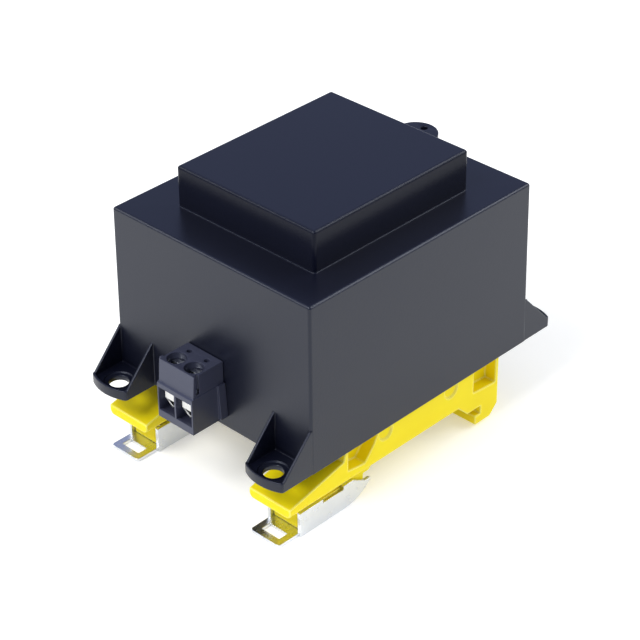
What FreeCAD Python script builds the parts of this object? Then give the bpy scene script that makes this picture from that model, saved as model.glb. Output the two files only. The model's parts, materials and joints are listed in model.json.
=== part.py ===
"""Encapsulated mains transformer for a 35 mm mounting rail, in millimetres.

A moulded case, open below and filled with casting resin, holds an EI core and its two windings.
Each end wall carries a two-way screw terminal whose cages rise as the screws are turned. Under the
case two moulded feet hook over the rail, and a sprung steel latch in each foot locks it there.

Frame: +Z up, +Y from the front terminal to the rear one. The origin is the centre of the four lug
holes, in the plane of the case's bottom.
"""
import FreeCAD, Part
import math
import os
import re

import Sketcher

SIZES = [
    ("case_width", 57.0, "outside, along X, at the bottom"),
    ("case_depth", 66.6, "outside, along Y, at the bottom"),
    ("case_height", 39.4, "bottom to shoulder"),
    ("case_wall", 1.6, "side walls"),
    ("case_roof", 2.0, "shoulder and hood top"),
    ("case_draft", 0.46, "degrees, side walls"),
    ("case_round", 0.6, "upright outside edges"),
    ("case_rim", 0.4, "chamfer of the shoulder's and the hood's edges"),
    ("hood_width", 38.8, "raised part over the coil, along X"),
    ("hood_depth", 45.3, "raised part over the coil, along Y"),
    ("hood_height", 9.4, "above the shoulder"),
    ("hood_x", 0.9, "centre of the hood and the coil"),
    ("hood_y", -0.8, "centre of the hood and the coil"),
    ("lug_width", 10.7, "fixing lug, outside its fins"),
    ("lug_side_reach", 7.6, "wall to where the tip's corners begin"),
    ("lug_corner", 0.8, "corners of the lug's tip"),
    ("lug_corner_turn", 64.0, "degrees that each corner turns"),
    ("lug_floor", 1.5, "plate under the screw head"),
    ("lug_rim", 2.3, "height of the rim round the plate"),
    ("lug_fin", 0.6, "thickness of the fins and the rim"),
    ("lug_fin_height", 10.6, "fin, where it meets the wall"),
    ("lug_inset", 0.1, "lug inside the case's side"),
    ("lug_root", 0.9, "how far the lug runs into the wall"),
    ("lug_hole", 4.3, "clearance for a 4 mm screw"),
    ("lug_hole_reach", 5.35, "wall to the hole"),
    ("lug_seat", 6.4, "shallow seat round the hole"),
    ("lug_seat_deep", 0.3, "depth of that seat"),
    ("ear_radius", 4.9, "half-round ear on the rear wall"),
    ("ear_thick", 3.0, "ear, down from the shoulder"),
    ("ear_root", 0.8, "how far the ear runs into the wall"),
    ("ear_x", -4.1, "centre of the ear"),
    ("ear_hole", 1.6, "eyelet in the ear"),
    ("ear_hole_reach", 2.6, "rear wall to the eyelet"),
    ("front_terminal_x", -1.4, "centre of the front terminal"),
    ("rear_terminal_x", 6.4, "centre of the rear terminal"),
    ("terminal_gap", 0.02, "between a terminal's back and the case's wall"),
    ("block_low", 2.3, "underside of a terminal, above the case's bottom"),
    ("pitch", 5.08, "between the two ways of a terminal"),
    ("block_width", 10.4, "lower part of a terminal"),
    ("block_depth", 8.95, "lower part, out from the wall"),
    ("block_height", 13.8, "terminal, bottom to top"),
    ("block_ledge", 8.4, "top of the ledge over the windows"),
    ("block_front_step", 0.5, "upper part behind the ledge"),
    ("block_ledge_rise", 0.25, "slope of the ledge"),
    ("block_front_lean", 0.4, "upper part's front, from the ledge to the top"),
    ("block_side_step", 0.1, "upper part inside the lower one"),
    ("flange_width", 0.9, "rear flange beyond the sides, at its lower end"),
    ("flange_width_top", 0.4, "rear flange beyond the sides, at its upper end"),
    ("flange_low", 0.6, "lower end of the rear flange"),
    ("flange_depth", 1.9, "rear flange, out from the wall"),
    ("spigot_width", 8.8, "rear spigot through the case wall"),
    ("spigot_low", 1.0, "underside of the spigot"),
    ("spigot_high", 9.4, "top of the spigot"),
    ("spigot_gap", 0.1, "round the spigot in the case wall"),
    ("window_width", 4.6, "wire entry and chamber"),
    ("window_low", 1.8, "sill of the wire entry"),
    ("window_high", 7.3, "head of the wire entry"),
    ("front_wall", 0.7, "terminal wall at the windows"),
    ("rear_wall", 3.0, "terminal wall behind the chambers"),
    ("chamber_low", 1.3, "floor of the chamber"),
    ("chamber_high", 10.1, "ceiling of the chamber"),
    ("screw_reach", 5.5, "wall to the screw axis"),
    ("screw_well", 4.2, "hole for the screw head"),
    ("screw_shelf", 0.6, "web that the head bears on"),
    ("screw_head", 3.9, "diameter of the head"),
    ("screw_head_high", 1.5, "height of the head"),
    ("screw_slot", 0.6, "width of the driver slot"),
    ("screw_slot_deep", 0.8, "depth of the driver slot"),
    ("screw_shank", 2.9, "diameter over the thread"),
    ("screw_tip_gap", 0.1, "tip of the screw to the contact bar"),
    ("screw_gap", 0.05, "running clearance of the screw"),
    ("screw_web_gap", 0.1, "radial, shank in the web"),
    ("probe_hole", 1.2, "test probe hole"),
    ("probe_reach", 2.0, "wall to the test probe hole"),
    ("bar_width", 2.6, "contact bar"),
    ("bar_thick", 0.8, "contact bar"),
    ("bar_top", 6.4, "top face of the contact bar"),
    ("bar_lip_low", 4.8, "lower end of the bar's front lip"),
    ("bar_lip", 0.7, "front lip, along Y"),
    ("bar_front_gap", 0.15, "front lip to the windows' wall"),
    ("bar_tail", 4.0, "bar behind the terminal's rear face"),
    ("rib_long", 4.6, "dovetails on the terminal's sides, down from the top"),
    ("rib_reach", 7.15, "wall to the middle of a dovetail"),
    ("rib_deep", 0.45, "dovetail groove"),
    ("rib_neck", 0.8, "dovetail groove at the side face"),
    ("rib_flare", 0.12, "dovetail, each side wider at its bottom"),
    ("rib_gap", 0.05, "clearance of the tongue in such a groove"),
    ("cage_width", 4.0, "outside width of a cage"),
    ("cage_strip", 0.45, "strip that the cage is bent from"),
    ("cage_top", 9.05, "upper face of a cage at the stored height"),
    ("cage_top_thick", 0.9, "tapped top of a cage"),
    ("cage_length", 3.6, "cage along the wire"),
    ("cage_vee_side", 3.95, "inside, where the vee begins"),
    ("cage_vee_low", 2.9, "inside, at the bottom of the vee"),
    ("foot_spacing", 42.6, "between the centres of the feet"),
    ("foot_width", 11.6, "bar of a foot"),
    ("foot_deep", 9.15, "underside of the bar"),
    ("foot_front", -38.3, "nose of the foot"),
    ("foot_nose_top", 6.9, "below the case, top of the nose"),
    ("foot_ramp_end", -22.4, "where the ramp meets the step"),
    ("foot_ramp_top", 3.3, "below the case, end of the ramp"),
    ("foot_step_run", 0.7, "slope of the step up to the case"),
    ("foot_end", 26.2, "rear end of the foot"),
    ("foot_under_round", 1.2, "lower edges of the bar"),
    ("rail_width", 35.0, "standard mounting rail"),
    ("rail_lip", 1.0, "thickness of the rail"),
    ("rail_y", 3.0, "centre of the rail"),
    ("rail_play", 0.1, "at each edge of the rail"),
    ("seat_drop", 11.4, "below the case, the rail seats"),
    ("seat_run", 4.4, "length of the rear seat"),
    ("seat_overlap", 1.7, "front seat over the rail"),
    ("seat_slope", 2.3, "run of the slope from bar to seat"),
    ("hook_gap", 2.1, "height of the slot for the rail"),
    ("hook_lip", 1.7, "hook under the rail"),
    ("hook_low", 15.7, "below the case, underside of the hook"),
    ("hook_heel", 4.9, "from the hook's tip to its heel's bevel"),
    ("hook_bevel", 2.4, "rise of the bevel on the heel"),
    ("web_width", 7.6, "lower web of the foot, inside the latch"),
    ("web_front", -33.4, "front face of the lower web"),
    ("web_low", 15.6, "below the case, underside of the web"),
    ("track_rear", -18.6, "rear end of the latch's track"),
    ("spring_room_front", -31.0, "front wall of the spring chamber"),
    ("spring_room_rear", -21.8, "rear wall of the spring chamber"),
    ("spring_room_width", 4.0, "spring chamber"),
    ("spring_room_top", 11.8, "below the case, roof of the chamber"),
    ("relief_top", 0.8, "below the case, top of the relief pockets"),
    ("front_relief_front", -21.2, "front relief pocket"),
    ("front_relief_rear", -12.0, "front relief pocket"),
    ("front_relief_low", 6.2, "below the case, front relief pocket"),
    ("front_relief_sill", 5.0, "lower edge of the front relief pocket, along Y"),
    ("front_relief_knee", 1.4, "bend of its rear side, ahead of its rear end"),
    ("front_relief_knee_drop", 3.6, "below the case, that bend"),
    ("rear_relief_front", 18.0, "rear relief pocket"),
    ("rear_relief_rear", 25.3, "rear relief pocket"),
    ("rear_relief_low", 6.8, "below the case, rear relief pocket"),
    ("relief_fall", 0.7, "how far the lower edges of the pockets fall"),
    ("pocket_deep", 3.0, "relief pockets in the foot's sides"),
    ("dimple", 4.0, "diameter of the side dimples"),
    ("dimple_deep", 0.5, "depth of the side dimples"),
    ("dimple_drop", 2.2, "below the case, centre of a dimple"),
    ("fix_front", -9.9, "front fixing screw of a foot"),
    ("fix_rear", 10.6, "rear fixing screw of a foot"),
    ("fix_hole", 3.3, "clearance hole in the foot"),
    ("fix_well", 6.2, "counterbore for the head"),
    ("fix_well_deep", 2.4, "depth of the counterbore"),
    ("fix_head", 5.6, "pan head"),
    ("fix_head_high", 2.0, "pan head"),
    ("fix_recess", 3.0, "cross recess"),
    ("fix_recess_arm", 0.7, "cross recess"),
    ("fix_recess_deep", 1.2, "cross recess"),
    ("fix_shank", 2.9, "diameter over the thread"),
    ("fix_reach", 5.6, "shank above the case's bottom"),
    ("insert_outer", 5.0, "brass insert, across its flats"),
    ("insert_long", 6.0, "brass insert"),
    ("insert_bore", 3.0, "over the screw's thread"),
    ("latch_width", 9.4, "outside of the latch"),
    ("latch_sheet", 0.8, "thickness of the steel"),
    ("latch_top", 10.55, "below the case, top edge of the sides"),
    ("latch_low", 16.5, "below the case, underside"),
    ("latch_front", -34.3, "front edge of the sides"),
    ("latch_web_rear", -22.0, "rear end of the floor"),
    ("latch_bite", 1.1, "claw under the rail's edge"),
    ("claw_under", 0.15, "claw below the rail's lip"),
    ("claw_point", 0.55, "thickness of the claw at its tip"),
    ("claw_flat", 1.6, "level stretch at the claw's tip"),
    ("claw_slope", 3.6, "run of the slope behind it"),
    ("claw_curve", -21.2, "where the lower edge begins to rise"),
    ("notch_front", -27.5, "notch in the top edge"),
    ("notch_rear", -21.4, "notch in the top edge"),
    ("notch_deep", 0.9, "notch in the top edge"),
    ("lip_in", 0.9, "folded lips that ride in the track"),
    ("lip_front", -32.9, "front end of the front lip"),
    ("lip_rear", -19.2, "rear end of the rear lip"),
    ("track_gap", 0.1, "clearance round the lips"),
    ("tab_width", 8.3, "pull tab"),
    ("tab_front", -40.0, "tip of the pull tab"),
    ("tab_round", 0.8, "corners of the pull tab"),
    ("eye_width", 5.0, "eye in the tab, along X"),
    ("eye_depth", 2.3, "eye in the tab, along Y"),
    ("eye_y", -37.1, "centre of the eye"),
    ("tongue_width", 3.4, "upright tongue on the latch floor"),
    ("tongue_high", 3.2, "upright tongue on the latch floor"),
    ("spring_outer", 3.2, "latch spring, height of its folds"),
    ("spring_width", 2.8, "latch spring, width of its strip"),
    ("spring_strip", 0.65, "latch spring, strip measured along Z"),
    ("spring_drop", 13.75, "below the case, middle of the spring"),
    ("spring_gap", 0.05, "at each end of the spring"),
    ("core_leg", 20.0, "centre leg of the core"),
    ("core_stack", 21.0, "height of the lamination stack"),
    ("core_roof_gap", 1.0, "resin over the core"),
    ("core_side_gap", 0.9, "core's outer leg to the case's nearer wall, along Y"),
    ("core_end_gap", 1.0, "stack of I laminations to the case's wall, along X"),
    ("core_yoke_gap", 2.8, "yoke of the E laminations to the case's wall, along X"),
    ("former_gap", 0.2, "former round the centre leg"),
    ("former_wall", 1.0, "tube of the coil former"),
    ("former_flange", 1.2, "flanges of the coil former"),
    ("flange_shift", 1.6, "middle flange, towards the secondary"),
    ("former_end_gap", 0.2, "former in the core window"),
    ("flange_rise", 9.5, "flange beyond the centre leg"),
    ("winding_inset", 0.6, "winding below the flange edge"),
    ("winding_bevel", 2.2, "bevelled corners of a winding"),
    ("lead_width", 1.0, "insulated winding lead, a flat strip"),
    ("lead_thick", 0.9, "insulated winding lead, along Z"),
    ("lead_run", 2.4, "level stretch at each end of a lead"),
    ("lead_core_gap", 1.15, "winding's end of a lead below the core"),
]
ALIASES = {name for name, _, _ in SIZES}

doc = FreeCAD.newDocument("EncapsulatedTransformer")
sheet = doc.addObject("Spreadsheet::Sheet", "Sheet")
for row, (alias, value, meaning) in enumerate(SIZES, start=1):
    sheet.set(f"A{row}", alias)
    sheet.set(f"B{row}", str(value))
    sheet.set(f"C{row}", meaning)
    sheet.setAlias(f"B{row}", alias)
doc.recompute()

NODES = []


def expression(text):
    """Write the sheet's name before each of its aliases in a formula."""
    return re.sub(r"[a-z][a-z_]+", lambda word: "Sheet." + word[0] if word[0] in ALIASES else word[0],
                  str(text))


def number(text):
    """The value of a formula in millimetres."""
    result = sheet.evalExpression(expression(text))
    return float(getattr(result, "Value", result))


def bind(thing, **formulas):
    """Bind properties of a document object to formulas; a double underscore stands for a dot."""
    for name, formula in formulas.items():
        thing.setExpression(name.replace("__", "."), expression(formula))


def new_body(name):
    body = doc.addObject("PartDesign::Body", name)
    body.Label = name
    return body


def keep(thing, label=None):
    """Count an object as one of the sub-parts that are written out."""
    if label:
        thing.Label = label
    NODES.append(thing)
    return thing


def origin_item(body, role):
    """One of the planes or axes of a body's own origin."""
    return next(item for item in body.Origin.OriginFeatures if item.Role == role)


def new_sketch(body, name, plane, offset="0"):
    """An empty sketch on one of the body's own origin planes, moved along that plane's normal."""
    sketch = body.newObject("Sketcher::SketchObject", name)
    sketch.AttachmentSupport = [(origin_item(body, plane + "_Plane"), "")]
    sketch.MapMode = "FlatFace"
    sketch.setExpression("AttachmentOffset.Base.z", expression(offset))
    return sketch


def add_outline(sketch, corners, arcs=None, closed=True):
    """Add an outline whose corners are pairs of formulas.

    arcs gives the radius of each curved side by the side's number: a positive radius has its centre to
    the left of the side's direction, a negative one to the right.
    """
    arcs = arcs or {}
    points = [FreeCAD.Vector(number(across), number(up), 0) for across, up in corners]
    sides = len(points) if closed else len(points) - 1
    ends = []
    ties = []
    formulas = []
    for side in range(sides):
        start = points[side]
        end = points[(side + 1) % len(points)]
        if side not in arcs:
            ends.append((sketch.addGeometry(Part.LineSegment(start, end)), 1, 2))
            continue
        radius = number(arcs[side])
        turn = math.copysign(1, radius)
        chord = end - start
        left = FreeCAD.Vector(-chord.y, chord.x, 0).normalize()
        centre = (start + end) * 0.5 + left * (turn * math.sqrt(radius ** 2 - chord.Length ** 2 / 4))
        first, last = (start, end) if turn > 0 else (end, start)
        angles = [math.atan2(point.y - centre.y, point.x - centre.x) for point in (first, last)]
        circle = Part.Circle(centre, FreeCAD.Vector(0, 0, 1), abs(radius))
        curve = sketch.addGeometry(Part.ArcOfCircle(circle, *angles))
        ends.append((curve, 1, 2) if turn > 0 else (curve, 2, 1))
        ties.append(Sketcher.Constraint("Radius", curve, abs(radius)))
        formulas.append(f"abs({arcs[side]})")
    for side, (curve, first, last) in enumerate(ends):
        spots = [(corners[side], first)]
        if closed or side + 1 < sides:
            following, entry, _ = ends[(side + 1) % len(ends)]
            ties.append(Sketcher.Constraint("Coincident", curve, last, following, entry))
            formulas.append(None)
        else:
            spots.append((corners[side + 1], last))
        for corner, point in spots:
            for kind, formula in zip(("DistanceX", "DistanceY"), corner):
                ties.append(Sketcher.Constraint(kind, -1, 1, curve, point, number(formula)))
                formulas.append(formula)
    tie_down(sketch, ties, formulas)


def add_circle(sketch, across, up, diameter):
    centre = FreeCAD.Vector(number(across), number(up), 0)
    curve = sketch.addGeometry(Part.Circle(centre, FreeCAD.Vector(0, 0, 1), number(diameter) / 2))
    ties = [
        Sketcher.Constraint("Diameter", curve, number(diameter)),
        Sketcher.Constraint("DistanceX", -1, 1, curve, 3, number(across)),
        Sketcher.Constraint("DistanceY", -1, 1, curve, 3, number(up)),
    ]
    tie_down(sketch, ties, [diameter, across, up])


def tie_down(sketch, ties, formulas):
    """Add constraints, each with the formula of its size or None."""
    for row, formula in zip(sketch.addConstraint(ties), formulas):
        if formula is not None:
            sketch.setExpression(f"Constraints[{row}]", expression(formula))


def box(left, right, low, high):
    """The four corners of a rectangle."""
    return [(left, low), (right, low), (right, high), (left, high)]


def centred(width, low, high):
    """A rectangle that is centred across."""
    return box(f"-({width}) / 2", f"({width}) / 2", low, high)


def sketch_of(body, name, plane, outlines, arcs=None, offset="0"):
    """A sketch with the given outlines; one with three entries is a circle: across, up, diameter."""
    sketch = new_sketch(body, name, plane, offset)
    for outline in outlines:
        if len(outline) == 3 and isinstance(outline[0], str):
            add_circle(sketch, *outline)
        else:
            add_outline(sketch, outline, arcs)
    return sketch


def extrude(body, kind, name, plane, outlines, length, offset="0", arcs=None, back=False, both=False,
            **more):
    """Pad or pocket a sketch by a formula's length; both spreads it evenly about the sketch."""
    sketch = sketch_of(body, name + "Sketch", plane, outlines, arcs, offset)
    feature = body.newObject("PartDesign::" + kind, name)
    feature.Profile = sketch
    feature.Reversed = back
    feature.SideType = "Symmetric" if both else "One side"
    bind(feature, Length=length, **more)
    sketch.Visibility = False
    doc.recompute()
    return feature


def pad(body, name, plane, outlines, length, **more):
    return extrude(body, "Pad", name, plane, outlines, length, **more)


def pocket(body, name, plane, outlines, length, **more):
    """Pocket a sketch, and stop if it took nothing away."""
    before = body.Shape.Volume
    feature = extrude(body, "Pocket", name, plane, outlines, length, **more)
    if body.Shape.Volume > before - 1e-6:
        raise RuntimeError(f"{feature.Name} cuts nothing")
    return feature


def revolve(body, name, plane, outline):
    """Turn an outline about the vertical axis of its sketch."""
    sketch = sketch_of(body, name + "Sketch", plane, [outline])
    feature = body.newObject("PartDesign::Revolution", name)
    feature.Profile = sketch
    feature.ReferenceAxis = (sketch, ["V_Axis"])
    feature.Angle = 360
    sketch.Visibility = False
    doc.recompute()
    return feature


def mirror(body, features):
    """Repeat features on the other side of the body's YZ plane."""
    feature = body.newObject("PartDesign::Mirrored", "BothSides")
    feature.Originals = features
    feature.MirrorPlane = (origin_item(body, "YZ_Plane"), [""])
    body.Tip = feature
    doc.recompute()
    return feature


def draft(body, name, outline, angle, inward=False):
    """Lean the walls that stand on a rectangle's sides towards the middle, about the XY plane."""
    base = body.Tip
    across = [number(corner[0]) for corner in outline]
    along = [number(corner[1]) for corner in outline]
    names = []
    for index, face in enumerate(base.Shape.Faces, start=1):
        normal = face.normalAt(0, 0)
        middle = face.CenterOfMass
        on_side = min(abs(middle.x - value) for value in across) < 0.001 and abs(normal.x) > 0.99
        on_end = min(abs(middle.y - value) for value in along) < 0.001 and abs(normal.y) > 0.99
        if on_side or on_end:
            names.append(f"Face{index}")
    feature = body.newObject("PartDesign::Draft", name)
    feature.Base = (base, names)
    feature.NeutralPlane = (origin_item(body, "XY_Plane"), [""])
    feature.Reversed = inward
    bind(feature, Angle=angle)
    doc.recompute()
    return feature


def straight(edge, axis):
    """Whether an edge is straight and runs along X, Y or Z, but for a draft of a degree or two."""
    if edge.Curve.TypeId != "Part::GeomLine":
        return False
    direction = edge.tangentAt(edge.FirstParameter)
    return abs(getattr(direction, axis)) > 0.999


def edges_of(body, name, test):
    """The names of a body's edges that pass a test, which is given each edge and its middle."""
    names = []
    for index, edge in enumerate(body.Tip.Shape.Edges, start=1):
        middle = edge.valueAt((edge.FirstParameter + edge.LastParameter) / 2)
        if test(edge, middle):
            names.append(f"Edge{index}")
    if not names:
        raise RuntimeError(f"{name} finds no edges")
    return names


def fillet(body, name, test, radius):
    """Round the edges of a body that pass a test."""
    base = (body.Tip, edges_of(body, name, test))
    feature = body.newObject("PartDesign::Fillet", name)
    feature.Base = base
    bind(feature, Radius=radius)
    doc.recompute()
    return feature


def chamfer(body, name, test, size):
    """Bevel the edges of a body that pass a test."""
    base = (body.Tip, edges_of(body, name, test))
    feature = body.newObject("PartDesign::Chamfer", name)
    feature.Base = base
    bind(feature, Size=size)
    doc.recompute()
    return feature


def near(value, formula, slack=0.01):
    return abs(value - number(formula)) < slack


# The case: a box with a raised hood over the coil, open below.

WALL_LEAN = "case_height * tan(case_draft * 1deg)"


def build_case():
    body = new_body("case")
    pad(body, "Walls", "XY", [case_outline("0")], "case_height")
    draft(body, "WallDraft", case_outline("0"), "case_draft")
    pad(body, "Hood", "XY", [hood_outline("0")], "hood_height", offset="case_height")
    fillet(body, "Corners", lambda edge, middle: straight(edge, "z"), "case_round")

    def on_rim(edge, middle):
        shoulder = near(middle.z, "case_height") and (
            abs(middle.x) > number(f"case_width / 2 - {WALL_LEAN} - case_round")
            or abs(middle.y) > number(f"case_depth / 2 - {WALL_LEAN} - case_round"))
        return shoulder or near(middle.z, "case_height + hood_height")

    chamfer(body, "Rims", on_rim, "case_rim")
    pocket(body, "Cavity", "XY", [case_outline("case_wall")], "case_height - case_roof", back=True)
    draft(body, "CavityDraft", case_outline("case_wall"), "case_draft", inward=True)
    pocket(body, "HoodCavity", "XY", [hood_outline("case_wall")],
           "case_height + hood_height - case_roof", back=True)
    pocket(body, "FrontTerminalHole", "XZ", [terminal_hole("front_terminal_x")], "2 * case_wall",
           offset="case_depth / 2")
    pocket(body, "RearTerminalHole", "XZ", [terminal_hole("rear_terminal_x")], "2 * case_wall",
           offset="-case_depth / 2", back=True)
    return body


def hood_outline(inset):
    return box(f"hood_x - hood_width / 2 + {inset}", f"hood_x + hood_width / 2 - {inset}",
               f"hood_y - hood_depth / 2 + {inset}", f"hood_y + hood_depth / 2 - {inset}")


def case_outline(inset):
    return box(f"-case_width / 2 + {inset}", f"case_width / 2 - {inset}",
               f"-case_depth / 2 + {inset}", f"case_depth / 2 - {inset}")


def terminal_hole(centre):
    half = "(spigot_width / 2 + spigot_gap)"
    return box(f"{centre} - {half}", f"{centre} + {half}", "block_low + spigot_low - spigot_gap",
               "block_low + spigot_high + spigot_gap")


LUG_HALF = "(lug_width / 2)"
LUG_TIP_HALF = f"({LUG_HALF} - lug_corner * (1 - cos(lug_corner_turn * 1deg)))"
LUG_TIP_RADIUS = f"({LUG_TIP_HALF} / cos(lug_corner_turn * 1deg))"


def lug_outline(inset, root):
    """The lug's plan, set in by a distance: straight sides, two corners and a slightly curved tip."""
    half = f"({LUG_HALF} - {inset})"
    corner = f"(lug_corner - {inset})"
    tip = f"({LUG_HALF} - lug_corner + {corner} * cos(lug_corner_turn * 1deg))"
    reach = f"(lug_side_reach + {corner} * sin(lug_corner_turn * 1deg))"
    outline = [(half, root), (f"-{half}", root), (f"-{half}", "-lug_side_reach"), (f"-{tip}", f"-{reach}"),
               (tip, f"-{reach}"), (half, "-lug_side_reach")]
    return outline, {2: corner, 3: f"{LUG_TIP_RADIUS} - {inset}", 4: corner}


def build_lug():
    """One fixing lug: a tray with a round end, held to the wall by two raked fins."""
    body = new_body("lug")
    outline, arcs = lug_outline("0", "lug_root")
    pad(body, "Tray", "XY", [outline], "lug_rim", arcs=arcs)
    outline, arcs = lug_outline("lug_fin", "0")
    pocket(body, "Recess", "XY", [outline], "lug_rim - lug_floor", offset="lug_rim", arcs=arcs)
    fin = [("lug_root", "lug_floor"), ("lug_root", "lug_fin_height"), ("0", "lug_fin_height"),
           ("-lug_side_reach", "lug_rim"), ("-lug_side_reach", "lug_floor")]
    raked = pad(body, "Fin", "YZ", [fin], "lug_fin", offset="lug_width / 2 - lug_fin")
    mirror(body, [raked])
    pocket(body, "Seat", "XY", [("0", "-lug_hole_reach", "lug_seat")], "lug_seat_deep",
           offset="lug_floor")
    pocket(body, "Hole", "XY", [("0", "-lug_hole_reach", "lug_hole")], "lug_floor", offset="lug_floor")
    bind(body, Placement__Base__x="-case_width / 2 + lug_inset + lug_width / 2",
         Placement__Base__y="-case_depth / 2")
    return body


def build_ear():
    """The half-round ear on the rear wall, flush with the shoulder."""
    body = new_body("ear")
    pad(body, "Plate", "XY",
        [[("ear_radius", "0"), ("-ear_radius", "0"), ("-ear_radius", "-ear_root"),
          ("ear_radius", "-ear_root")]],
        "ear_thick", arcs={0: "ear_radius * 1.0001"})
    pocket(body, "Eyelet", "XY", [("0", "ear_hole_reach", "ear_hole")], "ear_thick",
           offset="ear_thick")
    bind(body, Placement__Base__x="ear_x", Placement__Base__y="case_depth / 2",
         Placement__Base__z="case_height - ear_thick")
    return body


def mirrored(source, name, normal):
    feature = doc.addObject("Part::Mirroring", name)
    feature.Source = source
    feature.Base = FreeCAD.Vector(0, 0, 0)
    feature.Normal = normal
    return feature


def join(name, things):
    feature = doc.addObject("Part::MultiFuse", name)
    feature.Shapes = things
    feature.Refine = True
    return feature


def build_housing():
    lug = build_lug()
    right = mirrored(lug, "LugRight", FreeCAD.Vector(1, 0, 0))
    rear = [mirrored(lug, "LugRearLeft", FreeCAD.Vector(0, 1, 0)),
            mirrored(right, "LugRearRight", FreeCAD.Vector(0, 1, 0))]
    return keep(join("housing", [build_case(), lug, right, *rear, build_ear()]), "housing")


# The screw terminals. Each is built with the wall at y = 0 and its underside at z = 0, pointing
# towards -Y.


def place(body, side, across="0", out="0"):
    """Set a terminal's piece on the front wall, or turned half round on the rear wall."""
    if side == "front":
        bind(body, Placement__Base__x=f"front_terminal_x + ({across})",
             Placement__Base__y=f"-case_depth / 2 - terminal_gap - ({out})",
             Placement__Base__z="block_low")
        return
    body.Placement = FreeCAD.Placement(FreeCAD.Vector(0, 0, 0),
                                       FreeCAD.Rotation(FreeCAD.Vector(0, 0, 1), 180))
    bind(body, Placement__Base__x=f"rear_terminal_x - ({across})",
         Placement__Base__y=f"case_depth / 2 + terminal_gap + ({out})",
         Placement__Base__z="block_low")


WAYS = {"left": "-pitch / 2", "right": "pitch / 2"}


def build_terminal(side):
    body = keep(new_body(side + "_terminal_body"))
    shoulder = "block_ledge + block_ledge_rise"
    front = "-block_depth + block_front_step"
    pad(body, "Upper", "YZ",
        [[("0", "0"), ("0", "block_height"), (f"{front} + block_front_lean", "block_height"),
          (front, shoulder), (front, "0")]],
        "block_width - 2 * block_side_step", both=True)
    pad(body, "Lower", "YZ",
        [[("0", "0"), ("0", shoulder), (front, shoulder), ("-block_depth", "block_ledge"),
          ("-block_depth", "0")]],
        "block_width", both=True)
    wide = "(block_width / 2 + flange_width)"
    narrow = "(block_width / 2 + flange_width_top)"
    pad(body, "Flange", "XZ",
        [[(f"-{wide}", "flange_low"), (wide, "flange_low"), (narrow, shoulder), (f"-{narrow}", shoulder)]],
        "flange_depth")
    pad(body, "Spigot", "XZ", [centred("spigot_width", "spigot_low", "spigot_high")], "case_wall",
        back=True)
    ways = list(WAYS.values())
    pocket(body, "Windows", "XZ",
           [box(f"{way} - window_width / 2", f"{way} + window_width / 2", "window_low", "window_high")
            for way in ways],
           "front_wall", offset="block_depth")
    pocket(body, "Chambers", "XZ",
           [box(f"{way} - window_width / 2", f"{way} + window_width / 2", "chamber_low",
                "chamber_high") for way in ways],
           "block_depth - front_wall - rear_wall", offset="block_depth - front_wall")
    pocket(body, "ScrewWells", "XY", [(way, "-screw_reach", "screw_well") for way in ways],
           "block_height - chamber_high - screw_shelf", offset="block_height")
    pocket(body, "ShankHoles", "XY",
           [(way, "-screw_reach", "screw_shank + 2 * screw_web_gap") for way in ways],
           "block_height - chamber_high", offset="block_height")
    pocket(body, "ProbeHoles", "XY", [(way, "-probe_reach", "probe_hole") for way in ways],
           "block_height - bar_top", offset="block_height")
    pocket(body, "BarSlots", "XZ",
           [box(f"{way} - bar_width / 2", f"{way} + bar_width / 2", "bar_top - bar_thick", "bar_top")
            for way in ways],
           "rear_wall + case_wall", offset="-case_wall", back=True)
    edge = "(block_width / 2 - block_side_step)"
    rib_low = "block_height - rib_long"
    pocket(body, "Groove", "XY",
           [rib_outline(edge, "0")], "rib_long", offset="block_height")
    pad(body, "Tongue", "XY", [rib_outline(f"-{edge}", "rib_gap")], "rib_long", offset=rib_low)
    place(body, side)


def rib_outline(edge, gap):
    """A dovetail on the terminal's side, wider away from the edge: the groove's, or the tongue's."""
    deep = f"(rib_deep - {gap})"
    outer = f"{edge} - {deep}"
    neck = f"(rib_neck / 2 - {gap})"
    root = f"(rib_neck / 2 + rib_flare - {gap})"
    return [(edge, f"-rib_reach - {neck}"), (edge, f"-rib_reach + {neck}"),
            (outer, f"-rib_reach + {root}"), (outer, f"-rib_reach - {root}")]


def build_bar(side, way):
    """A contact bar with its front end turned down, and its tail through the case's wall."""
    body = keep(new_body(f"{side}_{way}_contact_bar"))
    low = "bar_top - bar_thick"
    front = "-(block_depth - front_wall - bar_front_gap)"
    pad(body, "Strip", "YZ",
        [[(front, "bar_lip_low"), (f"{front} + bar_lip", "bar_lip_low"), (f"{front} + bar_lip", low),
          ("bar_tail", low), ("bar_tail", "bar_top"), (front, "bar_top")]],
        "bar_width", both=True)
    place(body, side, WAYS[way])


def build_cage(side, way):
    """A strip bent to a loop round the bar, with a vee below and a tapped top."""
    body = keep(new_body(f"{side}_{way}_cage"))
    half = "cage_width / 2"
    inner = "(cage_width / 2 - cage_strip)"
    slope = f"((cage_vee_side - cage_vee_low) / {inner})"
    outer_low = f"cage_vee_low - cage_strip * sqrt(1 + {slope} ^ 2)"
    top = "cage_top"
    under = "cage_top - cage_top_thick"
    outside = [(half, f"{outer_low} + {slope} * {half}"), (half, top), (f"-{half}", top),
               (f"-{half}", f"{outer_low} + {slope} * {half}"), ("0", outer_low)]
    inside = [(inner, "cage_vee_side"), (inner, under), (f"-{inner}", under),
              (f"-{inner}", "cage_vee_side"), ("0", "cage_vee_low")]
    pad(body, "Loop", "XZ", [outside, inside], "cage_length", offset="screw_reach", both=True)
    pocket(body, "Thread", "XY", [("0", "-screw_reach", "screw_shank + 2 * screw_gap")],
           "cage_top_thick", offset=top)
    place(body, side, WAYS[way])


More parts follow.
